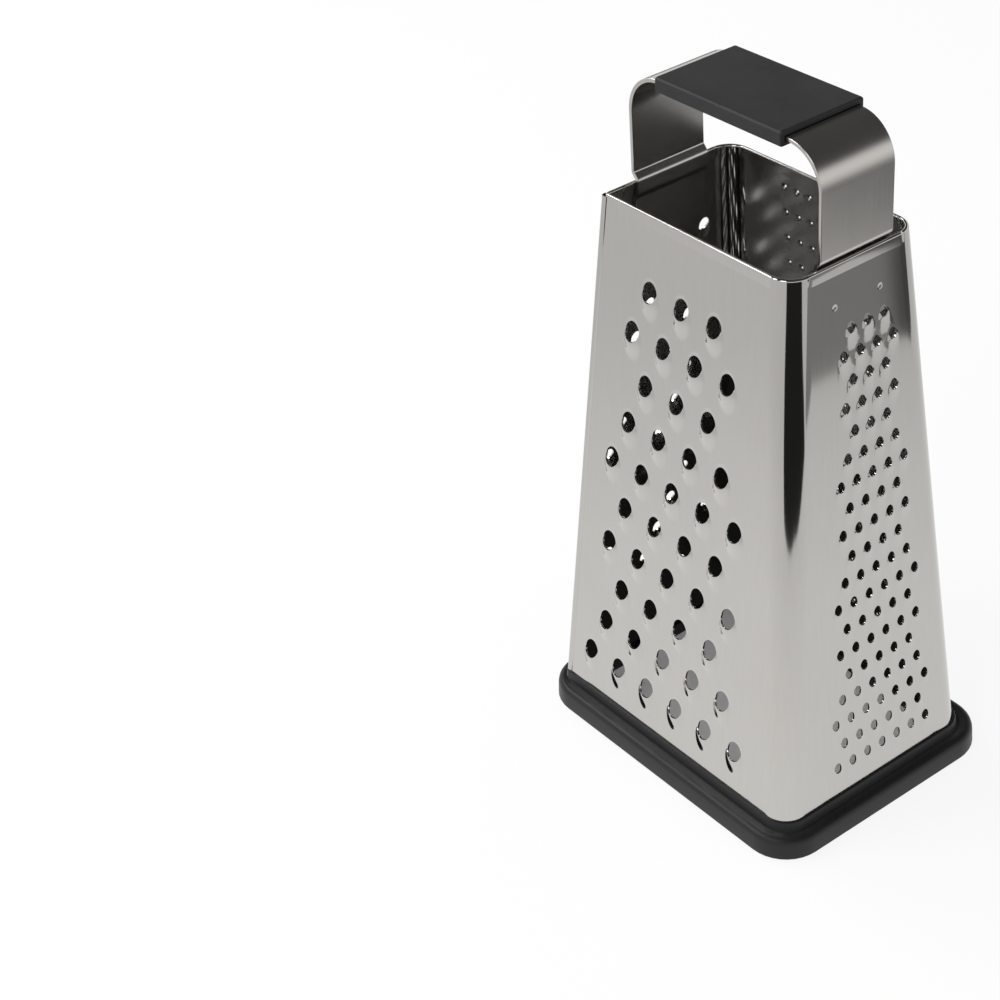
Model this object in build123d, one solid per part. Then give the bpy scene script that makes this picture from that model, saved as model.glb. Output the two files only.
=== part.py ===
from build123d import *
import os
from math import atan2, cos, degrees, pi, sin

# Box grater: a four-sided stainless tube that widens downwards, with a pattern of teeth on each
# side, a bent steel strap with a moulded grip on top, and a soft ring around the foot.
# Millimetres. The origin is under the middle of the foot, +Z up. The wide sides face -Y and +Y,
# the narrow ones +X and -X. The lock seam runs up the corner at -X -Y.

# Body: one folded sheet
rim_length = 72.4
rim_depth = 46.4
foot_length = 98.6
foot_depth = 74.0
sheet_height = 172.6
sheet_thickness = 0.5
bend_radius = 7.0
seam_bend_radius = 1.6
hem_height = 3.2
hem_thickness = 1.2
hem_bevel = 0.4
seam_bead_radius = 1.2
seam_bead_proud = 0.5
seam_bead_top_gap = 0.6

# Soft ring around the foot
ring_floor = 3.0
ring_overhang = 5.8
ring_side_height = 7.2
ring_edge_bevel = 0.8
collar_height = 9.4
collar_thickness = 1.1
groove_width = 0.9
groove_depth = 0.9
inner_lip_height = 6.0
inner_lip_thickness = 2.2
slot_clearance = 0.08

# Strap handle
strap_width = 25.6
strap_thickness = 1.2
strap_leg_reach = 36.6
strap_top = 33.0
strap_bend_radius = 12.0
strap_neck_height = 0.4
strap_crook_height = 2.4
strap_crook_radius = 1.6
strap_tail_depth = 20.0
strap_tail_rounding = 4.0
strap_jog_height = 2.0
hem_clearance = 0.15
weld_gap = 0.05

# Moulded grip, a sleeve around the strap's top
grip_length = 47.4
grip_over = 1.7
grip_under = 1.4
grip_side = 1.6
grip_rounding = 1.0
grip_end_bevel = 0.6
grip_clearance = 0.05

overrun = 1.0
quarter_turn = 90

# Heights
seat_z = ring_floor
rim_z = seat_z + sheet_height

# Slope of the sides: how far a side moves in for each millimetre up
slope_x = (foot_length - rim_length) / 2 / sheet_height
slope_y = (foot_depth - rim_depth) / 2 / sheet_height

# Teeth, by side. pitch runs along a row, step from row to row. first is the top row's depth below
# the rim, and counts are the holes in each row. The pattern's middle may sit off the side's own,
# and each row may drift from the one above. A hole is an egg, half_width wide each way, that
# reaches above and below its widest line. The sheet below it is pressed out by rise into a hood
# that runs down the side for the length hood. Only the coarse hoods are hollow behind.
coarse = dict(
    pitch=12.9,
    step=14.5,
    first=21.8,
    counts=[3, 4, 3, 4, 5, 4, 5, 4, 5, 6],
    middle=-3.0,
    drift=-0.26,
    half_width=2.75,
    above=2.7,
    below=3.4,
    hood=9.0,
    rise=1.3,
    facets=3,
    hollow=True,
)
medium = dict(
    pitch=10.0,
    step=9.4,
    first=14.4,
    counts=[3, 4, 3, 4, 3, 4, 5, 4, 5, 4, 5, 4, 5, 6, 5],
    middle=1.0,
    drift=0.0,
    half_width=1.9,
    above=1.9,
    below=2.5,
    hood=6.2,
    rise=1.0,
    facets=3,
    hollow=False,
)
fine = dict(
    pitch=5.95,
    step=7.67,
    first=19.1,
    counts=[3, 4, 3, 4, 3, 4, 5, 4, 5, 4, 5, 6, 5, 6, 5, 6, 7, 6, 7],
    middle=3.1,
    drift=0.0,
    half_width=1.35,
    above=1.35,
    below=2.0,
    hood=4.2,
    rise=0.7,
    facets=3,
    hollow=False,
)
zest = dict(
    pitch=4.86,
    step=8.2,
    first=7.5,
    counts=[7, 7, 7, 7, 7, 7, 7, 7, 9, 9, 9, 9, 9, 9, 9, 9, 9, 9],
    middle=0.0,
    drift=0.0,
    half_width=0.9,
    sides=3,
)


def profile(low_z, high_z, half_rim, slope):
    """The body seen from one side between two heights, as a face that widens downwards."""
    low = half_rim + (rim_z - low_z) * slope
    high = half_rim + (rim_z - high_z) * slope
    return make_face(Polyline((-low, low_z), (low, low_z), (high, high_z), (-high, high_z), close=True))


def towards_seam(edge):
    """How far an edge lies away from the corner with the seam."""
    return edge.center().X + edge.center().Y


def tube(low_z, high_z, inset):
    """A tapered solid between two heights that follows the body's sides, moved in by inset."""
    front = Plane.XZ * profile(low_z, high_z, rim_length / 2 - inset, slope_x)
    side = Plane.YZ * profile(low_z, high_z, rim_depth / 2 - inset, slope_y)
    block = extrude(front, foot_length, both=True) & extrude(side, foot_length, both=True)
    corners = block.edges().group_by(Axis.Z)[1].sort_by(towards_seam)
    block = fillet(corners[1:], bend_radius - inset)
    if inset < seam_bend_radius:
        seam_corner = block.edges().sort_by(towards_seam)[0]
        block = fillet(seam_corner, seam_bend_radius - inset)
    return block


def side_frame(side):
    """A plane on a side's outer face at the rim: X along a row, Y up the slope, Z outwards."""
    if side in ("front", "back"):
        turn = 0 if side == "front" else 180
        lean = degrees(atan2(slope_y, 1))
        reach = rim_depth / 2
    else:
        turn = 90 if side == "right" else -90
        lean = degrees(atan2(slope_x, 1))
        reach = rim_length / 2
    return Rot(0, 0, turn) * Pos(0, -reach, rim_z) * Rot(90 - lean, 0, 0)


def row_places(teeth):
    """Every tooth's place on its side: across from the middle, and down from the rim."""
    places = []
    for row, count in enumerate(teeth["counts"]):
        down = teeth["first"] + row * teeth["step"]
        middle = teeth["middle"] + row * teeth["drift"]
        start = middle - (count - 1) / 2 * teeth["pitch"]
        for column in range(count):
            places.append((start + column * teeth["pitch"], -down))
    return places


def half_oval(half_width, height, facets):
    """Points of a half-ellipse of flat facets, from +X round over the top to -X."""
    points = []
    for step in range(facets + 1):
        turn = pi * step / facets
        points.append((half_width * cos(turn), height * sin(turn)))
    return points


def half_cone(half_width, rise, base, reach, facets):
    """A tapering arch, lofted from its mouth across the origin to a tip at -Y."""
    points = half_oval(half_width, rise, facets)
    mouth = make_face(Polyline((half_width, -base), *points, (-half_width, -base), close=True))
    return loft([Rot(90, 0, 0) * mouth, Vertex(0, -reach, -base)], ruled=True)


def hood(teeth):
    """The pressed-out half-cone below a hole, solid."""
    width = teeth["half_width"] + sheet_thickness
    return half_cone(width, teeth["rise"], sheet_thickness / 2, teeth["hood"], teeth["facets"])


def eye(teeth):
    """What the punch takes away: the egg-shaped hole and any hollow behind the hood."""
    depth = sheet_thickness + overrun
    top = half_oval(teeth["half_width"], teeth["above"], teeth["facets"])
    bottom = half_oval(-teeth["half_width"], -teeth["below"], teeth["facets"])
    egg = make_face(Polyline(*top, *bottom[1:-1], close=True))
    hole = Pos(0, 0, -depth) * extrude(egg, depth + teeth["rise"] + overrun)
    if not teeth["hollow"]:
        return hole
    rise = teeth["rise"] - sheet_thickness
    reach = teeth["hood"] - 2 * sheet_thickness
    return hole + half_cone(teeth["half_width"], rise, depth, reach, teeth["facets"])


def prick(teeth):
    """A small sharp hole with few sides, one corner up."""
    depth = sheet_thickness + 2 * overrun
    mark = Rot(0, 0, quarter_turn) * RegularPolygon(teeth["half_width"], teeth["sides"])
    return Pos(0, 0, -depth / 2) * extrude(mark, depth)


def seam_bead():
    """The rolled lock seam, a round bead up the corner from the ring's collar to the rim."""
    inwards = seam_bead_radius - seam_bead_proud
    rounds = []
    for z in (collar_height + slot_clearance, rim_z - seam_bead_top_gap):
        x = rim_length / 2 + (rim_z - z) * slope_x - inwards
        y = rim_depth / 2 + (rim_z - z) * slope_y - inwards
        rounds.append(Pos(-x, -y, z) * Circle(seam_bead_radius))
    return loft(rounds, ruled=True)


def make_body():
    """The punched and folded sheet with its hem and seam."""
    shell = tube(seat_z, rim_z, 0)
    shell = chamfer(shell.edges().group_by(Axis.Z)[-1], hem_bevel)
    raised = [seam_bead()]
    taken = [
        tube(seat_z - overrun, rim_z - hem_height, sheet_thickness),
        tube(rim_z - hem_height - overrun, rim_z + overrun, hem_thickness),
    ]
    for side, teeth in (("front", coarse), ("left", medium), ("right", fine)):
        frame = side_frame(side)
        hood_solid = hood(teeth)
        cutter = eye(teeth)
        for across, up in row_places(teeth):
            place = frame * Pos(across, up, 0)
            raised.append(place * hood_solid)
            taken.append(place * cutter)
    frame = side_frame("back")
    pin = prick(zest)
    for across, up in row_places(zest):
        taken.append(frame * Pos(across, up, 0) * pin)
    return shell + raised - taken


def make_strap():
    """The handle: a flat strip with its tails welded inside the narrow sides."""
    half = strap_thickness / 2
    tail_z = rim_z - strap_tail_depth
    hem_z = rim_z - hem_height
    jog_z = hem_z - strap_jog_height
    wall = rim_length / 2 - sheet_thickness - weld_gap - half
    neck = rim_length / 2 - hem_thickness - hem_clearance - half
    reach = strap_leg_reach - half
    side = [
        (wall + strap_tail_depth * slope_x, tail_z),
        (wall + (rim_z - jog_z) * slope_x, jog_z),
        (neck, hem_z),
        (neck, rim_z + strap_neck_height),
        (reach, rim_z + strap_crook_height),
        (reach, rim_z + strap_top - half),
    ]
    points = side + [(-x, z) for x, z in reversed(side)]
    small = strap_crook_radius
    large = strap_bend_radius - half
    radii = [small] * (len(side) - 2) + [large, large] + [small] * (len(side) - 2)
    path = FilletPolyline(*[(x, 0, z) for x, z in points], radius=radii)
    section = Plane(path @ 0, z_dir=path % 0) * Rectangle(strap_thickness, strap_width)
    strip = sweep(section, path)
    corners = strip.edges().group_by(Axis.Z)[1]
    return fillet(corners, strap_tail_rounding)


def make_grip():
    """The moulded sleeve around the strap's flat top."""
    above = grip_over + grip_clearance
    below = grip_under + grip_clearance
    height = above + strap_thickness + below
    width = strap_width + 2 * (grip_side + grip_clearance)
    top_z = rim_z + strap_top + above
    profile = Plane.YZ * RectangleRounded(width, height, grip_rounding)
    sleeve = Pos(0, 0, top_z - height / 2) * extrude(profile, grip_length / 2, both=True)
    ends = sleeve.faces().sort_by(Axis.X)
    sleeve = chamfer(ends[0].edges() + ends[-1].edges(), grip_end_bevel)
    slot_width = strap_width + 2 * grip_clearance
    slot_height = strap_thickness + 2 * grip_clearance
    slot = Box(grip_length + 2 * overrun, slot_width, slot_height)
    return sleeve - Pos(0, 0, rim_z + strap_top - strap_thickness / 2) * slot


def make_ring():
    """The soft ring that the sheet's foot sits in, with a collar and a lip either side of it."""
    length = foot_length + 2 * ring_overhang
    depth = foot_depth + 2 * ring_overhang
    plan = RectangleRounded(length, depth, bend_radius + ring_overhang)
    base = extrude(plan, ring_side_height)
    top_edges = base.edges().group_by(Axis.Z)[-1]
    bottom_edges = base.edges().group_by(Axis.Z)[0]
    base = chamfer(top_edges + bottom_edges, ring_edge_bevel)
    collar = tube(ring_floor, collar_height, -collar_thickness)
    groove_z = ring_side_height - groove_depth
    groove = tube(groove_z, ring_side_height + overrun, -collar_thickness - groove_width)
    ring = base - groove + collar
    inner_gap = sheet_thickness + slot_clearance
    slot = tube(seat_z, collar_height + overrun, -slot_clearance)
    slot = slot - tube(seat_z - overrun, inner_lip_height, inner_gap)
    bore = tube(-overrun, collar_height + overrun, inner_gap + inner_lip_thickness)
    return ring - slot - bore


os.makedirs("parts", exist_ok=True)
export_step(make_body(), "parts/grater_body.step")
export_step(make_strap(), "parts/handle_strap.step")
export_step(make_grip(), "parts/handle_grip.step")
export_step(make_ring(), "parts/base_ring.step")
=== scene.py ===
from math import atan, atan2, cos, pi, radians, sin, sqrt, tan

import bmesh
import bpy
from mathutils import Matrix, Vector


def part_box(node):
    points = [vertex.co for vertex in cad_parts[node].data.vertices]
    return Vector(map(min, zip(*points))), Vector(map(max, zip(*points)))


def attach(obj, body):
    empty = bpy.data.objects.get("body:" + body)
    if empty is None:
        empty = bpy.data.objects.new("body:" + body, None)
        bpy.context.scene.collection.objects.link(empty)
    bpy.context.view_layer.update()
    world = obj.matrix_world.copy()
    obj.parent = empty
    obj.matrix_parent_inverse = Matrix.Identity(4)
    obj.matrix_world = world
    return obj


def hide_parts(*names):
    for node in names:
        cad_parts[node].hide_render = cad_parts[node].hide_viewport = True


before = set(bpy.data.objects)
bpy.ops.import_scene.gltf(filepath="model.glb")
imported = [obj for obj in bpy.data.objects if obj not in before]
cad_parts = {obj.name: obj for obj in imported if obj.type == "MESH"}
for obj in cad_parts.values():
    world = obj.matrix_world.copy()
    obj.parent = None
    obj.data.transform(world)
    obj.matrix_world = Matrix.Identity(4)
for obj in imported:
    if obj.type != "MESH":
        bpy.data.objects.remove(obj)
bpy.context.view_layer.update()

mm = 0.001
weldGap = 0.03 * mm  # vertices closer than this are merged

# Heights that everything below is set against
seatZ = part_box("grater_body")[0][2]
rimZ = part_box("grater_body")[1][2]
print("frame loaded, rim at", round(rimZ / mm, 1), "mm")


# Studio

# The camera, in metres, degrees and mm of lens
view = dict(
    place=(0.38289, -0.35620, 0.44781),
    turn=55.289,
    tilt=34.721,  # downwards
    roll=-5.005,
    lens=78.95,
    sensor=36,
)
studio = dict(
    floorSize=6.0,
    floorColour=0.86,
    floorGlow=0.86,
    floorNear=0.06,  # the floor's glow falls off between these distances, as metal sees it
    floorFar=0.42,
    floorFalloff=0.30,
    floorRoughness=0.9,
    innerLength=0.094,  # painted shadow: under the object the floor hardly glows, in place of its shade
    innerDepth=0.069,
    paintedShadowGlow=0.15,
    paintedShadowBlend=4 * mm,
    ambient=0.62,
    flagSegments=8,
    skyLow=0.22,  # up to this height the backdrop is white, as a share of straight up
    skyHigh=0.45,  # and from here the ceiling is dim
    ceiling=0.06,
    lamps=[
        # name, place, size, power, aims at
        ("keyLamp", (-0.55, -0.75, 0.95), 0.60, 6.0, (0, 0, 0.08)),
        ("sideLamp", (-0.90, -0.15, 0.85), 0.50, 4.0, (0, 0, 0.08)),
        ("frontLamp", (0.30, -1.00, 0.90), 0.50, 3.0, (0, 0, 0.10)),
    ],
    flags=[
        # name, corners on the floor, corner radius, lift, level
        ("cornerFlag", [(0.330, -0.492), (0.225, -0.400), (0.175, -0.310), (0.162, -0.245),
                        (0.210, -0.168), (0.254, -0.095), (0.266, 0.0), (0.277, 0.093),
                        (0.343, 0.087), (0.430, 0.045), (0.509, 0.019), (0.92, -0.10),
                        (0.55, -0.90)],
         0.01, 0.5 * mm, 0.02),
        ("sideFlag", [(0.30, 0.105), (0.265, 0.150), (0.265, 0.235), (0.30, 0.36), (0.62, 0.80),
                      (0.85, 0.60), (0.58, 0.30)], 0.02, 0.5 * mm, 0.28),
        ("backFlag", [(0.265, 0.230), (0.34, 0.303), (0.47, 0.60), (0.30, 0.62), (0.215, 0.30)],
         0.01, 1.0 * mm, 0.08),
        # under the object, inside the ring's foot: a dark card that paints shade into the
        # inside's reflections
        ("footShadeFlag", [(-0.0535, -0.0412), (0.0535, -0.0412), (0.0535, 0.0412), (-0.0535, 0.0412)],
         0.011, 5.0 * mm, 0.01),
        ("farFlag", [(-0.5, 0.1), (-2.9, 0.3), (-2.9, 2.6), (-0.5, 0.9)], 0.03, 0.5 * mm, 0.06),
    ],
)


# One wrapper for sockets, so that shader maths reads as plain sums

class Signal:
    def __init__(self, tree, socket):
        self.tree = tree
        self.socket = socket

    def maths(self, operation, *others):
        node = self.tree.nodes.new("ShaderNodeMath")
        node.operation = operation
        for place, source in enumerate((self,) + others):
            if isinstance(source, Signal):
                self.tree.links.new(source.socket, node.inputs[place])
            else:
                node.inputs[place].default_value = source
        return Signal(self.tree, node.outputs[0])

    def __add__(self, other):
        return self.maths("ADD", other)

    def __radd__(self, other):
        return self.maths("ADD", other)

    def __sub__(self, other):
        return self.maths("SUBTRACT", other)

    def __rsub__(self, other):
        return self.maths("MULTIPLY_ADD", -1, other)

    def __mul__(self, other):
        return self.maths("MULTIPLY", other)

    def __rmul__(self, other):
        return self.maths("MULTIPLY", other)

    def __pow__(self, other):
        return self.maths("POWER", other)

    def magnitude(self):
        return self.maths("ABSOLUTE")

    def atLeast(self, other):
        return self.maths("MAXIMUM", other)

    def atMost(self, other):
        return self.maths("MINIMUM", other)

    def between(self, low, high):
        # 0 below low, 1 above high, smooth in between
        node = self.tree.nodes.new("ShaderNodeMapRange")
        node.interpolation_type = "SMOOTHSTEP"
        self.tree.links.new(self.socket, node.inputs["Value"])
        node.inputs["From Min"].default_value = low
        node.inputs["From Max"].default_value = high
        return Signal(self.tree, node.outputs["Result"])


class NodeTree:
    def __init__(self, owner):
        owner.use_nodes = True
        self.tree = owner.node_tree
        self.tree.nodes.clear()

    def node(self, kind, **values):
        # values go into its sockets, whose names are written with _ for a space
        made = self.tree.nodes.new(kind)
        for name, value in values.items():
            self.feed(made.inputs[name.replace("_", " ")], value)
        return made

    def feed(self, socket, value):
        if isinstance(value, Signal):
            self.tree.links.new(value.socket, socket)
        elif isinstance(value, bpy.types.NodeSocket):
            self.tree.links.new(value, socket)
        else:
            socket.default_value = value

    def signal(self, socket):
        return Signal(self.tree, socket)

    def places(self):
        # Object coordinates, in metres along each axis
        coordinate = self.node("ShaderNodeTexCoord")
        split = self.node("ShaderNodeSeparateXYZ", Vector=coordinate.outputs["Object"])
        return [self.signal(output) for output in split.outputs]

    def joined(self, x, y, z):
        return self.node("ShaderNodeCombineXYZ", X=x, Y=y, Z=z).outputs["Vector"]

    def stretched(self, scale, x, y, z):
        return self.joined(x * scale[0], y * scale[1], z * scale[2])

    def noise(self, vector, scale=1.0, detail=2.0):
        made = self.node("ShaderNodeTexNoise", Vector=vector, Scale=scale, Detail=detail)
        return self.signal(made.outputs["Fac"])

    def mixed(self, share, low, high):
        # a colour between two, whose sockets come after those for numbers and vectors
        made = self.node("ShaderNodeMix")
        made.data_type = "RGBA"
        self.feed(made.inputs["Factor"], share)
        for place, colour in ((6, low), (7, high)):
            made.inputs[place].default_value = (*colour, 1.0)
        return made.outputs[2]


class Finish(NodeTree):
    def __init__(self, name, **values):
        self.material = bpy.data.materials.new(name)
        super().__init__(self.material)
        self.shader = self.node("ShaderNodeBsdfPrincipled", **values)
        self.node("ShaderNodeOutputMaterial", Surface=self.shader.outputs[0])

    def drive(self, name, source):
        self.feed(self.shader.inputs[name], source)

    def bump(self, height, strength=1.0):
        # height in metres
        made = self.node("ShaderNodeBump", Height=height, Distance=1.0, Strength=strength)
        self.feed(self.shader.inputs["Normal"], made.outputs["Normal"])


def setWorld():
    world = bpy.data.worlds.new("studioWorld")
    bpy.context.scene.world = world
    sky = NodeTree(world)
    rays = sky.node("ShaderNodeLightPath")
    camera = sky.signal(rays.outputs["Is Camera Ray"])
    glossy = sky.signal(rays.outputs["Is Glossy Ray"])
    through = sky.signal(rays.outputs["Is Transmission Ray"])
    direction = sky.node("ShaderNodeTexCoord").outputs["Generated"]
    up = sky.signal(sky.node("ShaderNodeSeparateXYZ", Vector=direction).outputs["Z"])
    backdrop = 1 - up.between(studio["skyLow"], studio["skyHigh"]) * (1 - studio["ceiling"])
    ambient = studio["ambient"]
    seen = camera.atLeast(through)
    strength = ambient + seen * (1 - ambient) + glossy * (backdrop - ambient) * (1 - seen)
    background = sky.node("ShaderNodeBackground", Color=(1, 1, 1, 1), Strength=strength)
    sky.node("ShaderNodeOutputWorld", Surface=background.outputs[0])


def setFloor():
    bpy.ops.mesh.primitive_plane_add(size=studio["floorSize"])
    floor = bpy.context.object
    floor.name = "studioFloor"
    paint = Finish("floorPaint", Roughness=studio["floorRoughness"])
    grey = studio["floorColour"]
    paint.drive("Base Color", (grey, grey, grey, 1))
    x, y = paint.places()[:2]
    pastX = x.magnitude() - studio["innerLength"] / 2
    pastY = y.magnitude() - studio["innerDepth"] / 2
    # painted shadow: the floor's glow is dimmed inside the object's footprint
    outside = pastX.atLeast(pastY).between(0.0, studio["paintedShadowBlend"])
    outside = outside * (1 - studio["paintedShadowGlow"]) + studio["paintedShadowGlow"]
    away = ((x * x + y * y) ** 0.5).between(studio["floorNear"], studio["floorFar"])
    rays = paint.node("ShaderNodeLightPath")
    camera = paint.signal(rays.outputs["Is Camera Ray"])
    glossy = paint.signal(rays.outputs["Is Glossy Ray"])
    seen = camera.atLeast(paint.signal(rays.outputs["Is Transmission Ray"])).atLeast(glossy)
    level = 1 - away * glossy * studio["floorFalloff"]
    glow = paint.node("ShaderNodeEmission", Color=(1, 1, 1, 1), Strength=level)
    blend = paint.node("ShaderNodeMixShader")
    paint.feed(blend.inputs[0], seen * outside * studio["floorGlow"])
    paint.feed(blend.inputs[1], paint.shader.outputs[0])
    paint.feed(blend.inputs[2], glow.outputs[0])
    output = next(node for node in paint.tree.nodes if node.type == "OUTPUT_MATERIAL")
    paint.feed(output.inputs["Surface"], blend.outputs[0])
    floor.data.materials.append(paint.material)


def setFlags():
    # dim cards on the floor, which only reflections see
    for name, corners, radius, lift, level in studio["flags"]:
        paint = NodeTree(bpy.data.materials.new(name + "Paint"))
        glow = paint.node("ShaderNodeEmission", Color=(1, 1, 1, 1), Strength=level)
        paint.node("ShaderNodeOutputMaterial", Surface=glow.outputs[0])
        deselectAll()
        bpy.ops.mesh.primitive_circle_add(vertices=len(corners), radius=1, fill_type="NGON")
        flag = bpy.context.object
        for vert, (x, y) in zip(flag.data.vertices, corners):
            vert.co = (x, y, lift)
        editMesh(flag, select="SELECT")
        bpy.ops.mesh.bevel(offset=radius, segments=studio["flagSegments"], affect="VERTICES")
        leaveEdit()
        flag.name = name
        flag.data.materials.append(bpy.data.materials[name + "Paint"])
        flag.visible_camera = False
        flag.visible_diffuse = False
        flag.visible_shadow = False
        flag.visible_transmission = False


def setLamps():
    for name, place, size, power, target in studio["lamps"]:
        lamp = bpy.data.lights.new(name, "AREA")
        lamp.shape = "DISK"
        lamp.size = size
        lamp.energy = power
        holder = bpy.data.objects.new(name, lamp)
        aim = Vector(target) - Vector(place)
        turn = aim.to_track_quat("-Z", "Y").to_matrix().to_4x4()
        holder.matrix_world = Matrix.Translation(place) @ turn
        bpy.context.collection.objects.link(holder)


def setCamera():
    camera = bpy.data.cameras.new("photoCamera")
    camera.lens = view["lens"]
    camera.sensor_width = view["sensor"]
    holder = bpy.data.objects.new("photoCamera", camera)
    turn = Matrix.Rotation(radians(view["turn"]), 4, "Z")
    tilt = Matrix.Rotation(radians(90 - view["tilt"]), 4, "X")
    roll = Matrix.Rotation(radians(view["roll"]), 4, "Z")
    holder.matrix_world = Matrix.Translation(view["place"]) @ turn @ tilt @ roll
    bpy.context.collection.objects.link(holder)
    bpy.context.scene.camera = holder
    bpy.context.scene.view_settings.view_transform = "Standard"


# Helpers for modelling

def deselectAll():
    if bpy.context.object and bpy.context.object.mode != "OBJECT":
        bpy.ops.object.mode_set(mode="OBJECT")
    bpy.ops.object.select_all(action="DESELECT")


def makeActive(obj):
    deselectAll()
    obj.select_set(True)
    bpy.context.view_layer.objects.active = obj


def editMesh(obj, mode="VERT", select="DESELECT"):
    makeActive(obj)
    bpy.ops.object.mode_set(mode="EDIT")
    bpy.ops.mesh.select_mode(type=mode)
    bpy.ops.mesh.select_all(action=select)


def leaveEdit():
    bpy.ops.object.mode_set(mode="OBJECT")


def pickVerts(obj, test):
    # selects the vertices whose place passes the test, in edit mode
    mesh = bmesh.from_edit_mesh(obj.data)
    for vert in mesh.verts:
        vert.select_set(bool(test(vert.co)))
    mesh.select_flush_mode()
    bmesh.update_edit_mesh(obj.data)


def pickFaces(obj, test):
    bpy.ops.mesh.select_all(action="DESELECT")
    mesh = bmesh.from_edit_mesh(obj.data)
    for face in mesh.faces:
        face.select_set(bool(test(face)))
    bmesh.update_edit_mesh(obj.data)


def applyModifier(obj, kind, **values):
    makeActive(obj)
    modifier = obj.modifiers.new(kind.lower(), kind)
    for name, value in values.items():
        setattr(modifier, name, value)
    bpy.ops.object.modifier_apply(modifier=modifier.name)


def joinAll(objs):
    makeActive(objs[0])
    for obj in objs:
        obj.select_set(True)
    bpy.ops.object.join()
    return objs[0]


def copyOf(obj, name):
    copied = obj.copy()
    copied.data = obj.data.copy()
    copied.name = name
    bpy.context.collection.objects.link(copied)
    return copied


def applyPlace(obj):
    makeActive(obj)
    bpy.ops.object.transform_apply(location=True, rotation=True, scale=True)


def weldTogether(obj):
    editMesh(obj, select="SELECT")
    bpy.ops.mesh.remove_doubles(threshold=weldGap)
    bpy.ops.mesh.normals_make_consistent(inside=False)
    leaveEdit()


def shadeSmooth(obj, angle):
    makeActive(obj)
    bpy.ops.object.shade_smooth_by_angle(angle=radians(angle))


def finishPiece(obj, name, slot, paint, *nodes):
    obj.name = name
    obj.data.name = name
    obj.data.materials.clear()
    obj.data.materials.append(paint)
    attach(obj, "root")
    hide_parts(*nodes)
    obj.data.calc_loop_triangles()
    print(name, "has", len(obj.data.loop_triangles), "triangles")


# Rounded outlines, extruded from one to the next, for the body and the ring

cornerSigns = [(-1, -1), (1, -1), (1, 1), (-1, 1)]


def outlinePlaces(length, depth, height, radii, segments):
    # places around a rectangle with rounded corners, anticlockwise, the first corner at -X -Y
    places = []
    for number, ((signX, signY), radius) in enumerate(zip(cornerSigns, radii)):
        centre = Vector((signX * (length / 2 - radius), signY * (depth / 2 - radius), height))
        for step in range(segments + 1):
            turn = pi + (number + step / segments) * pi / 2
            places.append(centre + radius * Vector((cos(turn), sin(turn), 0)))
    return places


def extrudeOutlines(outlines, closed=False):
    # a wall from each outline to the next, and from the last to the first where it is closed
    deselectAll()
    bpy.ops.mesh.primitive_circle_add(vertices=len(outlines[0]), radius=1, fill_type="NOTHING")
    wall = bpy.context.object
    for vert, place in zip(wall.data.vertices, outlines[0]):
        vert.co = place
    editMesh(wall, "EDGE", "SELECT")
    following = outlines[1:] + outlines[:1] if closed else outlines[1:]
    for current, target in zip(outlines, following):
        bpy.ops.mesh.extrude_edges_move()
        mesh = bmesh.from_edit_mesh(wall.data)
        for vert in mesh.verts:
            if vert.select:
                gaps = [(place - vert.co).length_squared for place in current]
                vert.co = target[gaps.index(min(gaps))]
        bmesh.update_edit_mesh(wall.data)
    leaveEdit()
    weldTogether(wall)
    return wall


# The body: a tapering skin with pressed teeth, given its thickness at the end

body = dict(
    rimLength=72.4 * mm,
    rimDepth=46.4 * mm,
    footLength=98.6 * mm,
    footDepth=74.0 * mm,
    bend=7.0 * mm,
    seamBend=1.6 * mm,
    bendSegments=9,
    sheet=0.5 * mm,
    border=1.2 * mm,
    hemDepth=3.2 * mm,
    hemFold=0.6 * mm,
    hemSteps=6,
    smoothAngle=40,
    cloudScale=28.0,
    fleckScale=(900, 900, 60),
    fleckShare=0.4,
    fleckHeight=0.0006 * mm,
    dark=(0.50, 0.485, 0.460),
    light=(0.57, 0.555, 0.530),
    roughness=0.05,
    roughnessSpread=0.05,
    # the flat sides are duller inside than outside; distances are from the outer face
    insideRoughness=0.16,
    insideFull=-0.4 * mm,
    insideNone=-0.1 * mm,
    flatBlend=1 * mm,
    # the hem leans out a little, as a bump
    hemLean=0.073,
    hemBlend=0.2 * mm,
)
slopeX = (body["footLength"] - body["rimLength"]) / 2 / (rimZ - seatZ)
slopeY = (body["footDepth"] - body["rimDepth"]) / 2 / (rimZ - seatZ)

seam = dict(
    radius=1.25 * mm,
    proud=0.55 * mm,
    wall=0.35 * mm,
    foot=9.5 * mm,
    topGap=0.6 * mm,
    points=20,
)

# Teeth. first is the top row's depth below the rim, step runs from row to row and pitch along a
# row. The pattern sits off the side's middle by middle, and each row drifts from the one above.
# A hole's lower edge is pressed out by rise and its upper edge in by sink, crown lifts all of it,
# jag gives it points, and narrowTop draws its upper half in.
# rings are the press around a hole, outwards from its edge: how far a ring reaches past the hole
# at its sides, above and below, in mm, and the share of the lift that is left there.
coarse = dict(
    side="front",
    pitch=12.9 * mm,
    step=14.5 * mm,
    first=21.8 * mm,
    counts=[3, 4, 3, 4, 5, 4, 5, 4, 5, 6],
    middle=-3.0 * mm,
    drift=-0.26 * mm,
    halfWidth=2.75 * mm,
    above=2.7 * mm,
    below=3.4 * mm,
    narrowTop=0.10,
    points=28,
    rise=1.1 * mm,
    sink=0.15 * mm,
    crown=0.0,
    jag=0.0,
    rings=[(0.25, 0.25, 0.7, 0.96), (0.5, 0.5, 1.8, 0.78), (0.75, 0.75, 3.1, 0.50),
           (0.95, 1.0, 4.4, 0.22), (1.15, 1.3, 5.6, 0.05), (1.4, 1.6, 6.3, 0.0)],
)
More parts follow.
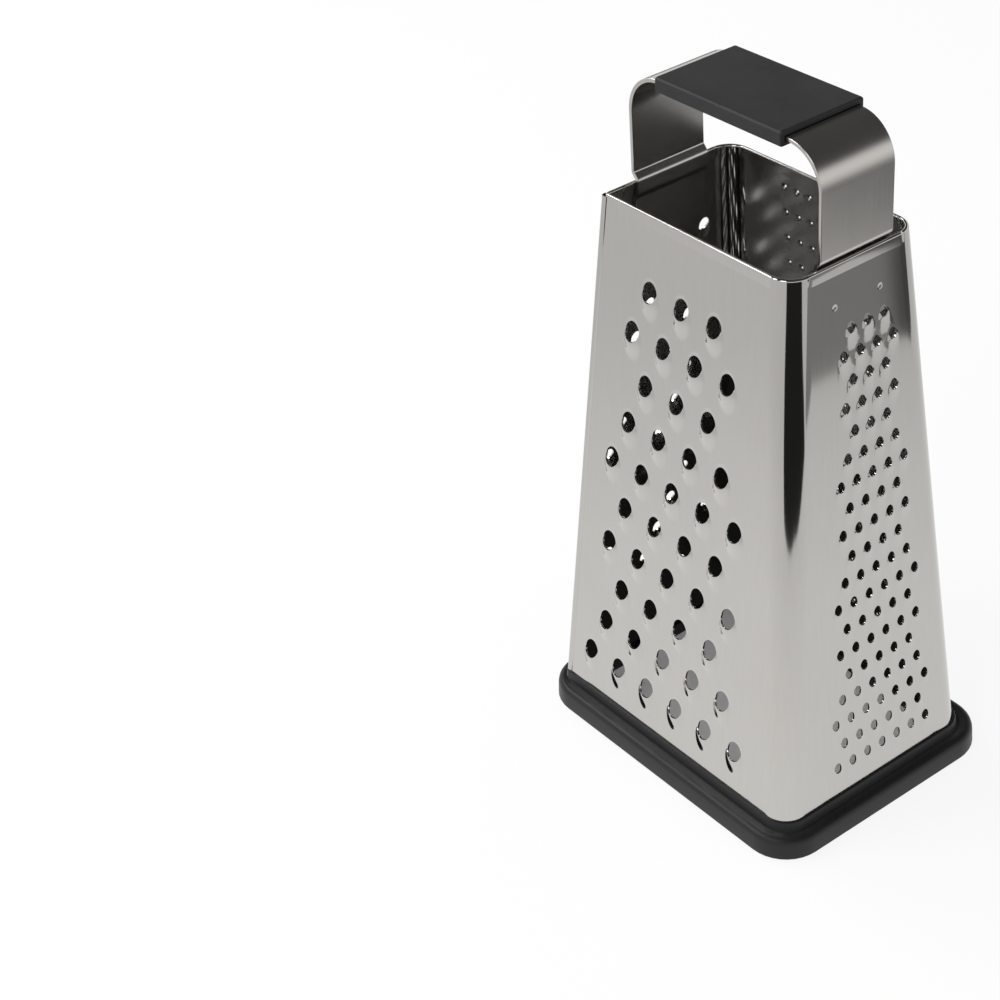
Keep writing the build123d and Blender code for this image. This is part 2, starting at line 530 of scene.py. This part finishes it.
medium = dict(
    side="left",
    pitch=10.0 * mm,
    step=9.4 * mm,
    first=14.4 * mm,
    counts=[3, 4, 3, 4, 3, 4, 5, 4, 5, 4, 5, 4, 5, 6, 5],
    middle=1.0 * mm,
    drift=0.0,
    halfWidth=1.9 * mm,
    above=1.9 * mm,
    below=2.5 * mm,
    narrowTop=0.10,
    points=20,
    rise=0.8 * mm,
    sink=0.12 * mm,
    crown=0.0,
    jag=0.0,
    rings=[(0.2, 0.2, 0.5, 0.93), (0.4, 0.4, 1.4, 0.6), (0.55, 0.55, 2.2, 0.2),
           (0.7, 0.7, 2.7, 0.0)],
)
fine = dict(
    side="right",
    pitch=5.95 * mm,
    step=7.67 * mm,
    first=19.1 * mm,
    counts=[3, 4, 3, 4, 3, 4, 5, 4, 5, 4, 5, 6, 5, 6, 5, 6, 7, 6, 7],
    middle=3.1 * mm,
    drift=0.0,
    halfWidth=1.35 * mm,
    above=1.35 * mm,
    below=2.0 * mm,
    narrowTop=0.2,
    points=20,
    rise=0.4 * mm,
    sink=0.0,
    crown=0.0,
    jag=0.0,
    rings=[(0.2, 0.15, 0.35, 0.96), (0.5, 0.35, 1.2, 0.65), (0.8, 0.5, 2.5, 0.3),
           (1.1, 0.65, 4.3, 0.0)],
)
zest = dict(
    side="back",
    pitch=4.86 * mm,
    step=8.2 * mm,
    first=7.5 * mm,
    counts=[7, 7, 7, 7, 7, 7, 7, 7, 9, 9, 9, 9, 9, 9, 9, 9, 9, 9],
    middle=0.0,
    drift=0.0,
    halfWidth=0.65 * mm,
    above=0.65 * mm,
    below=0.65 * mm,
    narrowTop=0.0,
    points=8,
    rise=0.0,
    sink=0.0,
    crown=0.5 * mm,
    jag=0.12 * mm,
    rings=[(0.3, 0.3, 0.3, 0.62), (0.6, 0.6, 0.6, 0.2), (0.9, 0.9, 0.9, 0.0)],
)
turns = dict(front=0, right=90, back=180, left=-90)  # degrees from the front
hoodCurve = 0.8  # below 1 the hoods are fuller towards their sides


def ringSize(teeth, sideways, up, down):
    # half width, half height and middle of an oval that reaches past the hole
    top = teeth["above"] + up * mm
    bottom = teeth["below"] + down * mm
    return teeth["halfWidth"] + sideways * mm, (top + bottom) / 2, (top - bottom) / 2


def pressTooth(teeth):
    # one hole with the pressed sheet around it, flat on XY, with +Y up the slope
    rings = [(0, 0, 0, 1.0)] + teeth["rings"]
    shapes = [ringSize(teeth, *ring[:3]) for ring in rings]
    halfWidth, halfHeight, middle = shapes[0]
    deselectAll()
    bpy.ops.mesh.primitive_circle_add(vertices=teeth["points"], radius=1, fill_type="NOTHING")
    tooth = bpy.context.object
    editMesh(tooth, select="SELECT")
    bpy.ops.transform.resize(value=(halfWidth, halfHeight, 1))
    bpy.ops.transform.translate(value=(0, middle, 0))
    for before, after in zip(shapes, shapes[1:]):
        shift = after[2] - before[2]
        bpy.ops.mesh.extrude_edges_move(TRANSFORM_OT_translate={"value": (0, shift, 0)})
        bpy.ops.transform.resize(value=(after[0] / before[0], after[1] / before[1], 1),
                                 center_override=(0, after[2], 0))
    leaveEdit()
    for number, vert in enumerate(tooth.data.vertices):
        place = number // teeth["points"]
        halfWidth, halfHeight, middle = shapes[place]
        share = rings[place][3]
        turn = atan2((vert.co.y - middle) / halfHeight, vert.co.x / halfWidth)
        upper = max(0.0, sin(turn))
        lower = max(0.0, -sin(turn))
        lift = teeth["crown"] + teeth["rise"] * lower ** hoodCurve - teeth["sink"] * upper
        vert.co.z = share * (lift + teeth["jag"] * cos(2 * turn) ** 2)
        vert.co.x *= 1 - teeth["narrowTop"] * upper ** 2
    group = tooth.vertex_groups.new(name="fillEdge")
    lastRing = range((len(shapes) - 1) * teeth["points"], len(shapes) * teeth["points"])
    group.add(lastRing, 1.0, "REPLACE")
    return tooth


def toothPlaces(teeth):
    # across from the side's middle, and up from the rim along the slope
    places = []
    for row, count in enumerate(teeth["counts"]):
        up = -teeth["first"] - row * teeth["step"]
        middle = teeth["middle"] + row * teeth["drift"]
        for column in range(count):
            places.append((middle + (column - (count - 1) / 2) * teeth["pitch"], up))
    return places


def makeWall(teeth):
    # a flat side: its border, the teeth, and the sheet filled in between them
    side = teeth["side"]
    wide = side in ("front", "back")
    slopeAlong, slopeOut = (slopeX, slopeY) if wide else (slopeY, slopeX)
    rimHalf = body["rimLength" if wide else "rimDepth"] / 2
    rimReach = body["rimDepth" if wide else "rimLength"] / 2
    lowBend = body["seamBend" if side == "front" else "bend"]
    highBend = body["seamBend" if side == "left" else "bend"]
    lengthen = sqrt(1 + slopeOut ** 2)
    drops = (body["hemFold"], rimZ - seatZ)
    deselectAll()
    bpy.ops.mesh.primitive_plane_add(size=2)
    wall = bpy.context.object
    for vert in wall.data.vertices:
        drop = drops[0] if vert.co.y > 0 else drops[1]
        half = rimHalf + drop * slopeAlong
        vert.co.x = -half + lowBend if vert.co.x < 0 else half - highBend
        vert.co.y = -drop * lengthen
    editMesh(wall, "FACE", "SELECT")
    bpy.ops.mesh.inset(thickness=body["border"], depth=0)
    bpy.ops.mesh.delete(type="ONLY_FACE")
    leaveEdit()
    group = wall.vertex_groups.new(name="fillEdge")
    edge = body["border"] / 2
    inside = [vert.index for vert in wall.data.vertices
              if -drops[1] * lengthen + edge < vert.co.y < -drops[0] * lengthen - edge]
    group.add(inside, 1.0, "REPLACE")
    tooth = pressTooth(teeth)
    copies = []
    for number, (across, up) in enumerate(toothPlaces(teeth)):
        copied = copyOf(tooth, f"{side}Tooth{number}")
        copied.location = (across, up, 0)
        copies.append(copied)
    bpy.data.objects.remove(tooth)
    wall = joinAll([wall] + copies)
    editMesh(wall)
    wall.vertex_groups.active = wall.vertex_groups["fillEdge"]
    bpy.ops.object.vertex_group_select()
    bpy.ops.mesh.select_mode(type="EDGE")
    bpy.ops.mesh.fill(use_beauty=True)
    leaveEdit()
    wall.vertex_groups.clear()
    turn = radians(turns[side])
    wall.rotation_euler = (pi / 2 - atan(slopeOut), 0, turn)
    wall.location = Matrix.Rotation(turn, 3, "Z") @ Vector((0, -rimReach, rimZ))
    applyPlace(wall)
    return wall


def makeSkin():
    # the four bent corners and the folded hem, with gaps where the flat walls go
    def outlineAt(height, inset):
        drop = rimZ - height
        length = body["rimLength"] + 2 * drop * slopeX - 2 * inset
        depth = body["rimDepth"] + 2 * drop * slopeY - 2 * inset
        seamRadius = max(body["seamBend"] - inset, body["hemFold"] / 2)
        radii = [seamRadius] + [body["bend"] - inset] * 3
        return outlinePlaces(length, depth, height, radii, body["bendSegments"])
    fold = body["hemFold"]
    outlines = [outlineAt(seatZ, 0)]
    for step in range(body["hemSteps"] + 1):
        turn = pi * step / body["hemSteps"]
        outlines.append(outlineAt(rimZ - fold + fold * sin(turn), fold * (1 - cos(turn))))
    outlines.append(outlineAt(rimZ - body["hemDepth"], 2 * fold))
    skin = extrudeOutlines(outlines)
    editMesh(skin, "FACE")
    half = (rimZ - seatZ) / 2
    pickFaces(skin, lambda face: abs(face.calc_center_median().z - rimZ + half) < half / 2
              and face.calc_area() > half * body["bend"])
    bpy.ops.mesh.delete(type="FACE")
    leaveEdit()
    return skin


def makeSeam():
    # the rolled lock seam, a thin open tube up the corner
    deselectAll()
    inwards = seam["radius"] - seam["proud"]
    ends = []
    for height in (seam["foot"], rimZ - seam["topGap"]):
        drop = rimZ - height
        x = body["rimLength"] / 2 + drop * slopeX - inwards
        y = body["rimDepth"] / 2 + drop * slopeY - inwards
        ends.append(Vector((-x, -y, height)))
    bpy.ops.mesh.primitive_circle_add(vertices=seam["points"], radius=seam["radius"],
                                      location=ends[0])
    roll = bpy.context.object
    editMesh(roll, "EDGE", "SELECT")
    bpy.ops.mesh.extrude_edges_move(TRANSFORM_OT_translate={"value": ends[1] - ends[0]})
    bpy.ops.mesh.select_all(action="SELECT")
    bpy.ops.mesh.normals_make_consistent(inside=False)
    leaveEdit()
    applyPlace(roll)
    applyModifier(roll, "SOLIDIFY", thickness=seam["wall"], offset=-1)
    return roll


def makeBody(paint):
    skin = makeSkin()
    walls = [makeWall(teeth) for teeth in (coarse, fine, zest, medium)]
    print("walls punched")
    sheet = joinAll([skin] + walls)
    weldTogether(sheet)
    applyModifier(sheet, "SOLIDIFY", thickness=body["sheet"], offset=-1, use_rim=True)
    sheet = joinAll([sheet, makeSeam()])
    shadeSmooth(sheet, body["smoothAngle"])
    applyModifier(sheet, "WEIGHTED_NORMAL", mode="FACE_AREA", keep_sharp=True)
    finishPiece(sheet, "grater_sheet", "body_steel", paint, "grater_body")


# The two spot welds that show through each narrow side, as dimples in its outer face
weldMark = dict(
    reach=8.1 * mm,
    drop=12.0 * mm,
    core=0.3 * mm,
    radius=1.1 * mm,
    depth=0.12 * mm,
    # how far inside the rim's end a mark starts and is full
    start=1 * mm,
    full=0.5 * mm,
)


def makeSteel():
    steel = Finish("satinSteel", Metallic=1.0)
    x, y, z = steel.places()
    bend = body["bend"]
    halfLength = body["rimLength"] / 2
    halfDepth = body["rimDepth"] / 2
    share = body["fleckShare"]
    cloud = steel.noise(steel.joined(x, y, z), body["cloudScale"], detail=3.0)
    fleck = steel.noise(steel.stretched(body["fleckScale"], x, y, z), detail=3.0)
    tone = cloud * (1 - share) + fleck * share
    steel.drive("Base Color", steel.mixed(tone, body["dark"], body["light"]))
    # how far a point lies past the middle of a corner's bend, each way, and from the outer face
    acrossX = (x.magnitude() - (rimZ - z) * slopeX - (halfLength - bend)).atLeast(0.0)
    acrossY = (y.magnitude() - (rimZ - z) * slopeY - (halfDepth - bend)).atLeast(0.0)
    fromSkin = (acrossX * acrossX + acrossY * acrossY) ** 0.5 - bend
    flat = 1 - acrossX.atMost(acrossY).between(0.0, body["flatBlend"])
    inside = (1 - fromSkin.between(body["insideFull"], body["insideNone"])) * flat
    rough = body["roughness"] + body["roughnessSpread"] * tone
    steel.drive("Roughness", rough + inside * body["insideRoughness"])
    hemZ = rimZ - body["hemDepth"]
    onHem = z.between(hemZ - body["hemBlend"], hemZ)
    hemLean = (z - hemZ) * onHem * flat * body["hemLean"]
    sideways = y.magnitude() - weldMark["reach"]
    upwards = z - rimZ + weldMark["drop"]
    fromWeld = (sideways ** 2 + upwards ** 2) ** 0.5
    narrow = x.magnitude().between(halfLength - weldMark["start"], halfLength - weldMark["full"])
    weld = (1 - fromWeld.between(weldMark["core"], weldMark["radius"])) * narrow
    steel.bump(fleck * body["fleckHeight"] + hemLean - weld * weldMark["depth"])
    return steel.material


# The strap: one strip bent up from the narrow sides and over

strap = dict(
    width=25.6 * mm,
    thickness=1.2 * mm,
    legReach=36.6 * mm,
    top=33.0 * mm,
    bend=12.0 * mm,
    neckHeight=0.4 * mm,
    crookHeight=2.4 * mm,
    crookBend=1.6 * mm,
    tailDepth=20.0 * mm,
    tailRounding=4.0 * mm,
    jogHeight=2.0 * mm,
    hemClearance=0.15 * mm,
    weldGap=0.05 * mm,
    crookSteps=5,
    bendSteps=16,
    edgeRounding=0.28 * mm,
    edgeSegments=3,
    edgeAngle=60,
    tailSegments=6,
    smoothAngle=50,
    grainScale=(30, 6000, 30),  # brushed along the strip
    grainShare=0.6,
    grainHeight=0.0012 * mm,
    cloudScale=60.0,
    dark=(0.50, 0.48, 0.455),
    light=(0.60, 0.58, 0.555),
    roughness=0.20,
    roughnessSpread=0.10,
)


def stripAlong(points, radii, steps, width):
    # a strip as wide as given along Y, extruded down the runs and spun round the bends
    deselectAll()
    bpy.ops.mesh.primitive_plane_add(size=width)
    strip = bpy.context.object
    editMesh(strip)
    pickVerts(strip, lambda co: co.x > 0)
    bpy.ops.mesh.delete(type="VERT")
    bpy.ops.mesh.select_all(action="SELECT")
    bpy.ops.transform.translate(value=(points[0].x + width / 2, 0, points[0].z))
    here = points[0]
    for corner, following, radius, count in zip(points[1:], points[2:], radii, steps):
        before = (corner - here).normalized()
        after = (following - corner).normalized()
        turn = atan2(before.z * after.x - before.x * after.z, before.dot(after))
        reach = radius * tan(abs(turn) / 2)
        start = corner - before * reach
        side = Vector((before.z, 0, -before.x)) * (1 if turn > 0 else -1)
        centre = start + side * radius
        bpy.ops.mesh.extrude_edges_move(TRANSFORM_OT_translate={"value": start - here})
        bpy.ops.mesh.spin(steps=count, angle=-turn, center=centre, axis=(0, 1, 0))
        here = corner + after * reach
    bpy.ops.mesh.extrude_edges_move(TRANSFORM_OT_translate={"value": points[-1] - here})
    leaveEdit()
    return strip


def makeStrap(paint):
    half = strap["thickness"] / 2
    hemZ = rimZ - body["hemDepth"]
    jogZ = hemZ - strap["jogHeight"]
    tailZ = rimZ - strap["tailDepth"]
    wall = body["rimLength"] / 2 - body["sheet"] - strap["weldGap"] - half
    neck = body["rimLength"] / 2 - 2 * body["hemFold"] - strap["hemClearance"] - half
    reach = strap["legReach"] - half
    topZ = rimZ + strap["top"] - half
    points = [
        (wall + strap["tailDepth"] * slopeX, tailZ),
        (wall + (rimZ - jogZ) * slopeX, jogZ),
        (neck, hemZ),
        (neck, rimZ + strap["neckHeight"]),
        (reach, rimZ + strap["crookHeight"]),
        (reach, topZ),
        (0, topZ),
    ]
    points = [Vector((x, 0, z)) for x, z in points]
    radii = [strap["crookBend"]] * 4 + [strap["bend"] - half]
    steps = [strap["crookSteps"]] * 4 + [strap["bendSteps"]]
    strip = stripAlong(points, radii, steps, strap["width"])
    lowest = min(vert.co.z for vert in strip.data.vertices)
    editMesh(strip)
    pickVerts(strip, lambda co: co.z < lowest + weldGap)
    bpy.ops.mesh.bevel(offset=strap["tailRounding"], segments=strap["tailSegments"],
                       affect="VERTICES")
    leaveEdit()
    applyPlace(strip)
    applyModifier(strip, "MIRROR", use_axis=(True, False, False), merge_threshold=weldGap)
    weldTogether(strip)
    applyModifier(strip, "SOLIDIFY", thickness=strap["thickness"], offset=0)
    applyModifier(strip, "BEVEL", width=strap["edgeRounding"], segments=strap["edgeSegments"],
                  limit_method="ANGLE", angle_limit=radians(strap["edgeAngle"]))
    shadeSmooth(strip, strap["smoothAngle"])
    applyModifier(strip, "WEIGHTED_NORMAL", mode="FACE_AREA", keep_sharp=True)
    finishPiece(strip, "strap_strip", "strap_steel", paint, "handle_strap")


def makeStrapSteel():
    steel = Finish("brushedStrapSteel", Metallic=1.0)
    x, y, z = steel.places()
    share = strap["grainShare"]
    grain = steel.noise(steel.stretched(strap["grainScale"], x, y, z), detail=3.0)
    cloud = steel.noise(steel.joined(x, y, z), strap["cloudScale"])
    tone = grain * share + cloud * (1 - share)
    steel.drive("Base Color", steel.mixed(tone, strap["dark"], strap["light"]))
    steel.drive("Roughness", strap["roughness"] + strap["roughnessSpread"] * tone)
    steel.bump(grain * strap["grainHeight"])
    return steel.material


# The grip: a moulded sleeve round the strap's flat top

grip = dict(
    length=47.4 * mm,
    over=1.7 * mm,
    under=1.4 * mm,
    side=1.6 * mm,
    clearance=0.05 * mm,
    edge=0.95 * mm,
    end=0.55 * mm,
    edgeSegments=4,
    endSegments=3,
    slotDepth=1.5 * mm,
    slotGap=0.25 * mm,
    endFacing=0.99,  # how nearly a face has to look along X to be an end
    smoothAngle=35,
    specular=0.35,
    grainScale=2600.0,
    grainShare=0.3,
    grainHeight=0.03 * mm,
    grainStrength=0.7,
    cloudScale=70.0,
    speckScale=700.0,
    speckShare=0.35,
    speckFrom=0.68,
    speckFull=0.74,
    dark=(0.010, 0.010, 0.0105),
    light=(0.024, 0.024, 0.025),
    roughness=0.62,
    roughnessSpread=0.12,
)


def makeGrip(paint):
    width = strap["width"] + 2 * (grip["side"] + grip["clearance"])
    over = grip["over"] + grip["clearance"]
    height = over + strap["thickness"] + grip["under"] + grip["clearance"]
    topZ = rimZ + strap["top"] + over
    strapZ = rimZ + strap["top"] - strap["thickness"] / 2
    endX = grip["length"] / 2
    deselectAll()
    bpy.ops.mesh.primitive_cube_add(size=1, location=(0, 0, topZ - height / 2))
    sleeve = bpy.context.object
    sleeve.scale = (grip["length"], width, height)
    applyPlace(sleeve)
    editMesh(sleeve, "EDGE")
    mesh = bmesh.from_edit_mesh(sleeve.data)
    for edge in mesh.edges:
        along = edge.verts[0].co - edge.verts[1].co
        edge.select_set(abs(along.x) > grip["length"] / 2)
    bmesh.update_edit_mesh(sleeve.data)
    bpy.ops.mesh.bevel(offset=grip["edge"], segments=grip["edgeSegments"])
    # the ends: a small rounding, then the slot that the strap leaves through
    for sign in (-1, 1):
        def atEnd(face):
            middle = face.calc_center_median()
            return face.normal.x * sign > grip["endFacing"] and middle.x * sign > endX - weldGap
        bpy.ops.mesh.select_mode(type="FACE")
        pickFaces(sleeve, atEnd)
        bpy.ops.mesh.bevel(offset=grip["end"], segments=grip["endSegments"])
        pickFaces(sleeve, atEnd)
        bpy.ops.mesh.inset(thickness=grip["edge"] / 2, depth=0)
        bpy.ops.mesh.extrude_region_move(TRANSFORM_OT_translate={"value": (0, 0, 0)})
        slotWidth = strap["width"] / 2 + grip["slotGap"]
        slotHeight = strap["thickness"] / 2 + grip["slotGap"]
        mesh = bmesh.from_edit_mesh(sleeve.data)
        for vert in mesh.verts:
            if vert.select:
                vert.co.y = max(-slotWidth, min(slotWidth, vert.co.y))
                vert.co.z = strapZ + (slotHeight if vert.co.z > strapZ else -slotHeight)
        bmesh.update_edit_mesh(sleeve.data)
        bpy.ops.mesh.extrude_region_move(
            TRANSFORM_OT_translate={"value": (-sign * grip["slotDepth"], 0, 0)})
    leaveEdit()
    shadeSmooth(sleeve, grip["smoothAngle"])
    applyModifier(sleeve, "WEIGHTED_NORMAL", mode="FACE_AREA", keep_sharp=True)
    finishPiece(sleeve, "grip_sleeve", "grip_plastic", paint, "handle_grip")


def makeGripPlastic():
    plastic = Finish("mattBlackPlastic", Specular_IOR_Level=grip["specular"])
    x, y, z = plastic.places()
    share = grip["grainShare"]
    grain = plastic.noise(plastic.joined(x, y, z), grip["grainScale"])
    cloud = plastic.noise(plastic.joined(x, y, z), grip["cloudScale"], detail=3.0)
    speck = plastic.noise(plastic.joined(x, y, z), grip["speckScale"], detail=1.0)
    speck = speck.between(grip["speckFrom"], grip["speckFull"])
    tone = (cloud * (1 - share) + grain * share + speck * grip["speckShare"]).atMost(1.0)
    plastic.drive("Base Color", plastic.mixed(tone, grip["dark"], grip["light"]))
    plastic.drive("Roughness", grip["roughness"] - grip["roughnessSpread"] * cloud)
    plastic.bump(grain * grip["grainHeight"], grip["grainStrength"])
    return plastic.material


# The soft ring round the foot

ring = dict(
    overhang=5.8 * mm,
    segments=9,
    slotGap=0.08 * mm,
    smoothAngle=40,
    specular=0.3,
    grainScale=1800.0,
    grainHeight=0.01 * mm,
    grainStrength=0.5,
    cloudScale=40.0,
    dark=(0.008, 0.008, 0.009),
    light=(0.015, 0.015, 0.0165),
    roughness=0.36,
    roughnessSpread=0.14,
    # heights and insets from the outer face, in mm: the side, the ridge and the shoulder
    outer=[(0.0, 0.8), (0.25, 0.25), (0.8, 0.0), (5.3, 0.25), (6.2, 0.5), (6.9, 1.0), (7.2, 1.8),
           (7.15, 2.5), (6.95, 3.3)],
    # heights and distances from the sheet's outer face, in mm: groove, collar, slot and lip
    inner=[(6.8, 2.05), (6.3, 1.9), (6.3, 1.2), (6.8, 1.1), (9.05, 1.1), (9.32, 0.98), (9.4, 0.7),
           (9.4, 0.08), (3.0, 0.08), (3.0, -0.58), (5.7, -0.58), (6.0, -0.9), (6.0, -2.4),
           (5.7, -2.78), (0.3, -2.78), (0.0, -2.5)],
)


def makeRing(paint):
    outlines = []
    for height, inset in ring["outer"]:
        outward = ring["overhang"] - inset * mm
        length = body["footLength"] + 2 * outward
        depth = body["footDepth"] + 2 * outward
        radii = [body["bend"] + outward] * 4
        outlines.append(outlinePlaces(length, depth, height * mm, radii, ring["segments"]))
    for height, outward in ring["inner"]:
        drop = rimZ - height * mm
        length = body["rimLength"] + 2 * (drop * slopeX + outward * mm)
        depth = body["rimDepth"] + 2 * (drop * slopeY + outward * mm)
        seamRadius = max(body["seamBend"] + outward * mm, ring["slotGap"])
        radii = [seamRadius] + [body["bend"] + outward * mm] * 3
        outlines.append(outlinePlaces(length, depth, height * mm, radii, ring["segments"]))
    foot = extrudeOutlines(outlines, closed=True)
    shadeSmooth(foot, ring["smoothAngle"])
    applyModifier(foot, "WEIGHTED_NORMAL", mode="FACE_AREA", keep_sharp=True)
    foot.visible_glossy = False  # the photo's satin steel doesn't mirror the ring
    finishPiece(foot, "foot_ring", "ring_rubber", paint, "base_ring")


def makeRubber():
    rubber = Finish("softBlackRubber", Specular_IOR_Level=ring["specular"])
    x, y, z = rubber.places()
    grain = rubber.noise(rubber.joined(x, y, z), ring["grainScale"])
    cloud = rubber.noise(rubber.joined(x, y, z), ring["cloudScale"], detail=3.0)
    rubber.drive("Base Color", rubber.mixed(cloud, ring["dark"], ring["light"]))
    rubber.drive("Roughness", ring["roughness"] + ring["roughnessSpread"] * cloud)
    rubber.bump(grain * ring["grainHeight"], ring["grainStrength"])
    return rubber.material


deselectAll()
setCamera()
setWorld()
setFloor()
setFlags()
setLamps()
print("studio set")
makeBody(makeSteel())
print("body made")
makeStrap(makeStrapSteel())
makeGrip(makeGripPlastic())
print("handle made")
makeRing(makeRubber())
print("ring made")
